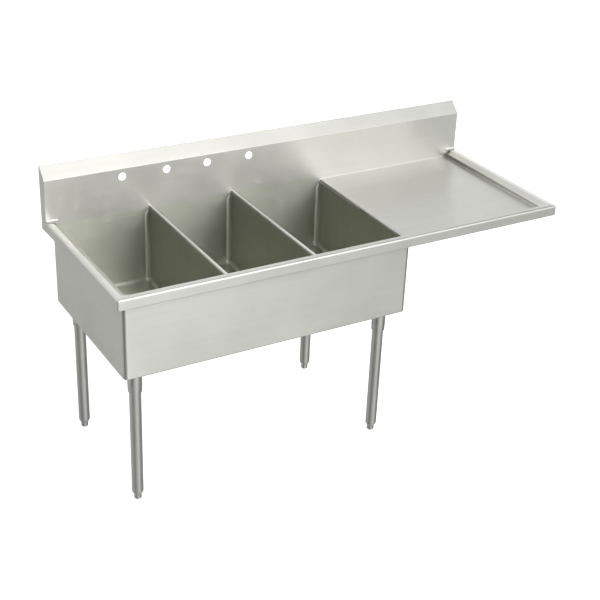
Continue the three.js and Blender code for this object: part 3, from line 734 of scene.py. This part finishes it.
def make_apron():
    left, right, front, rear = apron_low.x, apron_high.x, apron_low.y, apron_high.y
    top, foot = apron_high.z, apron_low.z
    under_roll = deck_low.z - SHEET
    path = [(Vector((left + APRON_RETURN, rear)), Vector((0, -1)))]
    corners = ((left, rear, 90), (left, front, 180), (right, front, 270), (right, rear, 0))
    for x, y, start in corners:
        centre = Vector((x + APRON_CORNER * (1 if x == left else -1),
                         y + APRON_CORNER * (1 if y == front else -1)))
        for k in range(9):
            angle = math.radians(start + 90 * k / 8)
            outward = Vector((math.cos(angle), math.sin(angle)))
            path.append((centre + outward * APRON_CORNER, -outward))
    path.append((Vector((right - APRON_RETURN, rear)), Vector((0, -1))))
    rows, slots = [], []
    for point, inward in path:
        low_top = point.x > BOWLS_END - 1e-6 or point.y > SPLASH
        height = under_roll if low_top else top
        outline = rounded([(0.0, height), (0.0, foot), (APRON_FLANGE, foot)], APRON_BEND, 8)
        rows.append([Vector((point.x + inward.x * d, point.y + inward.y * d, z)) for d, z in outline])
        slots.append(0 if abs(inward.y) > abs(inward.x) else 1)
    bm = bmesh.new()
    grid(bm, rows, slots=slots[:-1])
    finished("apron_wrap", bm, [sheet_x, sheet_y], (0, -1, 0), SHEET, 0.0003, stands_for=["apron"])


# Legs.


def measured(node_name):
    """A round node's middle, radius, lowest height and highest height."""
    low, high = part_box(node_name)
    return (low + high) / 2, (high.x - low.x) / 2, low.z, high.z


def make_tube(place):
    middle, radius, foot, top = measured("leg_tube_" + place)
    bore = radius - TUBE_WALL
    halfway = (bore, (foot + top) / 2)
    profile = [halfway, (bore, foot), (radius, foot), (radius, top), (bore, top), halfway]
    turned_piece("tube_" + place, rounded(profile, TUBE_EDGE, 3)[:-1], tube_steel, middle,
                 "leg_tube_" + place)


def make_socket(place):
    """A cast socket that narrows a little below its waist, with a hole for the set screw."""
    middle, tube_radius, _, _ = measured("leg_tube_" + place)
    _, outer, bottom, head = measured("leg_socket_" + place)
    bore = tube_radius + JOINT_GAP
    waist = bottom + 0.3 * (head - bottom)
    waist_narrowing, foot_narrowing = 0.0004, 0.0015
    halfway = (bore, (bottom + head) / 2)
    profile = [halfway, (bore, bottom), (outer - foot_narrowing, bottom), (outer - waist_narrowing, waist),
               (outer, head), (bore, head), halfway]
    piece = turned_piece("socket_" + place, rounded(profile, SOCKET_EDGE, 4)[:-1], socket_steel, middle,
                         "leg_socket_" + place)
    screw_low, screw_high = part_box("set_screw_" + place)
    screw = (screw_low + screw_high) / 2
    way = 1 if screw.x > middle.x else -1
    drill_length = 0.030
    drill_centre = (middle.x + way * 0.032, middle.y, screw.z)
    drill_radius = (screw_high.z - screw_low.z) / 2 + JOINT_GAP
    piece.modifiers.clear()
    keep_shape(piece, [cylinder_cutter(drill_centre, (1, 0, 0), drill_radius, drill_length)])
    dress(piece, 0.0002)


def make_socket_weld(place):
    """A concave bead in the corner between a socket and its gusset."""
    middle, outer, _, head = measured("leg_socket_" + place)
    steps = 8
    inside = outer - 0.001
    profile = [(inside, head)]
    for k in range(steps + 1):
        angle = math.pi / 2 * k / steps
        profile.append((outer + SOCKET_WELD * (1 - math.sin(angle)),
                        head - SOCKET_WELD * (1 - math.cos(angle))))
    profile.append((inside, head - SOCKET_WELD))
    turned_piece("socket_weld_" + place, profile, weld_steel, middle, None)


def make_leg(place):
    make_tube(place)
    make_socket(place)
    make_socket_weld(place)


def make_foot(place):
    """A bullet foot. Each corner of the profile is a radius, a height and a bend."""
    middle, shoulder, _, stud_top = measured("bullet_foot_" + place)
    insert_low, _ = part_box("foot_insert_" + place)
    seat = insert_low.z - FOOT_GAP
    profile = [(0.0, 0.0), (0.0105, 0.0, 0.002), (0.0155, 0.0045, 0.004), (0.0158, 0.022, 0.004),
               (0.0169, 0.026, 0.003), (shoulder - 0.0003, 0.0335, 0.0015), (shoulder, seat, 0.0008),
               (STUD, seat, 0.0003), (STUD, stud_top, 0.001), (0.0, stud_top)]
    turned_piece("foot_" + place, rounded(profile, 0.001, 5), foot_steel, middle,
                 "bullet_foot_" + place, body="foot_" + place)


# Drains.


def strainer_thread(outer, top, bottom):
    """A fine saw-tooth down the outside of the strainer, in place of its thread."""
    pitch, depth = 0.0016, 0.0006
    thread = []
    z = top
    while z > bottom:
        thread += [(outer, z, 0.0), (outer - depth, z - pitch / 2, 0.0)]
        z -= pitch
    return thread


def make_drain(name):
    """The strainer's body: a flange, a threaded cup and a tailpiece. Corners: radius, height, bend."""
    middle, flange, outlet_end, top = measured("strainer_body_" + name)
    seat = top - FLANGE_HEIGHT
    inner, outer = 0.043, 0.0453
    outlet, wall = 0.019, 0.0023
    bottom = seat - 0.050
    start = (inner, seat - 0.010)
    profile = [start, (inner, seat + 0.0008, 0.0008), (inner + 0.002, seat + FLANGE_HEIGHT, 0.001),
               (flange, seat + 0.0016, 0.0006), (flange, seat, 0.0002), (outer, seat, 0.0002)]
    profile += strainer_thread(outer, seat - 0.008, bottom + 0.012)
    profile += [(outer - 0.0006, bottom + 0.002, 0.001), (outer - 0.004, bottom - 0.001, 0.002),
                (outlet + wall, bottom - 0.003, 0.001), (outlet + wall, outlet_end, 0.0006),
                (outlet, outlet_end, 0.0006), (outlet, bottom, 0.002),
                (inner - 0.003, bottom + 0.002, 0.002), (inner, bottom + 0.006, 0.002), start]
    turned_piece("strainer_" + name, rounded(profile, 0.0005, 3)[:-1], drain_steel, middle,
                 "strainer_body_" + name, steps=72)


def basket_drills(floor):
    """Three rings of holes through the basket's floor: how many, and how far from the middle."""
    rings = ((8, 0.012), (14, 0.019), (20, 0.026))
    radius, length = 0.0022, 0.008
    drills = []
    for count, distance in rings:
        for k in range(count):
            angle = 2 * math.pi * (k + 0.5) / count
            centre = (distance * math.cos(angle), distance * math.sin(angle), floor)
            drills.append(cylinder_cutter(centre, (0, 0, 1), radius, length, 12))
    return join_cutters(drills)


def make_basket(name):
    """A perforated cup with a post and a knob. Corners: radius, height, bend."""
    middle, _, floor, top = measured("strainer_basket_" + name)
    wall = 0.0016
    rim = top - 0.011
    profile = [(0.0, floor), (0.030, floor, 0.004), (0.036, floor + 0.005, 0.003),
               (0.0416, rim - 0.002, 0.0015), (0.0422, rim, 0.0005), (0.0406, rim, 0.0005),
               (0.0345, floor + 0.0064, 0.003), (0.0294, floor + wall, 0.003),
               (0.0035, floor + wall, 0.001), (0.0035, rim, 0.001), (0.010, rim + 0.002, 0.001),
               (0.0115, rim + 0.006, 0.002), (0.008, rim + 0.010, 0.002), (0.0, top)]
    bm = lathe(rounded(profile, 0.001, 4))
    piece = finished("basket_cup_" + name, bm, [drain_steel], None, 0.0, 0.0, body="basket_" + name,
                     stands_for=["strainer_basket_" + name])
    piece.modifiers.clear()
    keep_shape(piece, [basket_drills(floor)])
    dress(piece, 0.0)
    piece.parent = None
    piece.matrix_world = Matrix.Translation((middle.x, middle.y, 0.0))
    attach(piece, "basket_" + name)


# CAD nodes whose shape is right keep it, with softened edges and a finished surface.


def keep_node(name, material, edge):
    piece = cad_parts[name]
    piece.data.materials.clear()
    piece.data.materials.append(material)
    for face in piece.data.polygons:
        face.material_index = 0
    piece.data.shade_smooth()
    piece.data.set_sharp_from_angle(angle=SHARP_ANGLE)
    soften(piece, edge)


make_backsplash()
make_splash_ends()
make_rims()
make_corner_welds()
for bowl_name in BOWL_NAMES:
    make_bowl(bowl_name)
for side_name in ("left", "right"):
    make_divider_top(side_name)
make_tray()
make_apron()
for end_name, side_name in PLACES:
    corner_name = end_name + "_" + side_name
    make_leg(corner_name)
    make_foot(corner_name)
    keep_node("gusset_" + corner_name, sheet_x, 0.0006)
    keep_node("set_screw_" + corner_name, fastener_steel, 0.0003)
    keep_node("foot_insert_" + corner_name, insert_plastic, 0.0004)
for bowl_name in BOWL_NAMES:
    make_drain(bowl_name)
    make_basket(bowl_name)
    keep_node("drain_gasket_" + bowl_name, gasket_rubber, 0.0004)
    keep_node("lock_nut_" + bowl_name, fastener_steel, 0.0005)
keep_node("drainboard_channel", sheet_x, 0.0004)


# Stage: a pale floor, a soft studio and the camera.

CAMERA_PLACE = (-2.517, -4.163, 3.089)
CAMERA_AZIMUTH, CAMERA_ELEVATION, CAMERA_ROLL = (math.radians(a) for a in (-31.0, 27.72, 2.44))
CAMERA_LENS = 74.42
FLOOR_REACH = 60.0
FLOOR_PAINT = 0.8
FLOOR_GLOW = 0.75  # added light, seen by the camera only
# The floor's tone in the steel's reflections, darker than the camera sees it: a painted reflection.
FLOOR_IN_STEEL = 0.66
GLOW_TIGHTNESS = 14.0
BACKDROP = 1.0  # seen by the camera only
PALE_REFLECTION_GLOW = (172, -26, 0.5)  # a glowing patch on the floor in front, seen only in the steel: a painted reflection
# Painted dark patches in the floor, seen only in the steel's reflections: azimuth, elevation and depth.
DARK_REFLECTION_PATCHES = (
    (242, -25, 0.95),
    (112, -25, 0.9),
)
# Azimuth from the wall's side turning right, elevation, strength.
SOFT_LIGHTS = (
    (184, 10, 1.5),
    (168, 25, 3.5),
    (160, 42, 2.7),
    (130, 26, 0.9),
    (312, 25, 2.8),
    (45, 10, 1.7),
    (18, 35, 1.5),
    (0, 75, 0.8),
)


def make_floor():
    """A pale floor. The steel sees it darker, with one pale and two dark patches painted in for its
    reflections.
    """
    material, tree, shader = new_material("floor_paint")
    coordinates = node(tree, "TexCoord").outputs["Object"]
    uneven = remap(tree, noise(tree, coordinates, 0.6, 2.0), 0.3, 0.7, 0.98, 1.0)
    seen = node(tree, "LightPath").outputs["Is Camera Ray"]
    incoming = scaled(tree, node(tree, "NewGeometry").outputs["Incoming"], -1.0)
    # The darker floor and its dark patches, seen only in the steel: painted reflection.
    in_steel = FLOOR_IN_STEEL
    for azimuth, elevation, depth in DARK_REFLECTION_PATCHES:
        lit = maths(tree, "SUBTRACT", 1.0, glow(tree, incoming, azimuth, elevation, depth))
        in_steel = maths(tree, "MULTIPLY", lit, in_steel)
    mixed = node(tree, "Mix", {0: seen, 2: in_steel, 3: FLOOR_PAINT})
    tone = maths(tree, "MULTIPLY", uneven, mixed.outputs[0])
    colour = node(tree, "CombineColor", {0: tone, 1: tone, 2: tone})
    tree.links.new(colour.outputs[0], shader.inputs["Base Color"])
    shader.inputs["Roughness"].default_value = 0.9
    shader.inputs["Specular IOR Level"].default_value = 0.0
    shader.inputs["Emission Color"].default_value = (1.0, 1.0, 1.0, 1.0)
    # A glowing patch on the floor, seen only in the steel: a painted reflection.
    reflection_glow = glow(tree, incoming, *PALE_REFLECTION_GLOW)
    emitted = node(tree, "Mix", {0: seen, 2: reflection_glow, 3: FLOOR_GLOW}).outputs[0]
    tree.links.new(emitted, shader.inputs["Emission Strength"])
    bm = bmesh.new()
    bmesh.ops.create_grid(bm, x_segments=4, y_segments=4, size=FLOOR_REACH)
    piece_from(bm, "floor", [material])


def glow(tree, direction, azimuth, elevation, strength):
    """How strongly a direction looks towards a soft light or a patch, which fades out round its middle."""
    azimuth, elevation = math.radians(azimuth), math.radians(elevation)
    towards = (math.sin(azimuth) * math.cos(elevation), math.cos(azimuth) * math.cos(elevation),
               math.sin(elevation))
    facing = maths(tree, "MAXIMUM", dot_product(tree, direction, towards), 0.0)
    return maths(tree, "MULTIPLY", maths(tree, "POWER", facing, GLOW_TIGHTNESS), strength)


def make_world():
    """A studio with soft lights all round, in front of a pale backdrop that only the camera sees."""
    world = bpy.data.worlds.new("studio")
    bpy.context.scene.world = world
    world.use_nodes = True
    tree = world.node_tree
    background = tree.nodes["Background"]
    direction = node(tree, "TexCoord").outputs["Generated"]
    level = 0.0
    for azimuth, elevation, strength in SOFT_LIGHTS:
        level = maths(tree, "ADD", glow(tree, direction, azimuth, elevation, strength), level)
    seen = node(tree, "LightPath").outputs["Is Camera Ray"]
    level = node(tree, "Mix", {0: seen, 2: level, 3: BACKDROP}).outputs[0]
    tree.links.new(level, background.inputs["Strength"])
    background.inputs["Color"].default_value = (1.0, 1.0, 0.985, 1.0)


def make_camera():
    """A camera at the front left, above the rim, turned a little about its own axis."""
    azimuth, elevation, roll = CAMERA_AZIMUTH, CAMERA_ELEVATION, CAMERA_ROLL
    back = Vector((math.sin(azimuth) * math.cos(elevation), -math.cos(azimuth) * math.cos(elevation),
                   math.sin(elevation)))
    right = Vector((math.cos(azimuth), math.sin(azimuth), 0))
    up = back.cross(right)
    turned_right = right * math.cos(roll) + up * math.sin(roll)
    turned_up = up * math.cos(roll) - right * math.sin(roll)
    data = bpy.data.cameras.new("camera")
    data.sensor_width = 36.0
    data.lens = CAMERA_LENS
    camera = bpy.data.objects.new("camera", data)
    bpy.context.scene.collection.objects.link(camera)
    rotation = Matrix((turned_right, turned_up, back)).transposed().to_4x4()
    camera.matrix_world = Matrix.Translation(CAMERA_PLACE) @ rotation
    bpy.context.scene.camera = camera


make_floor()
make_world()
make_camera()
bpy.context.scene.view_settings.view_transform = "Standard"
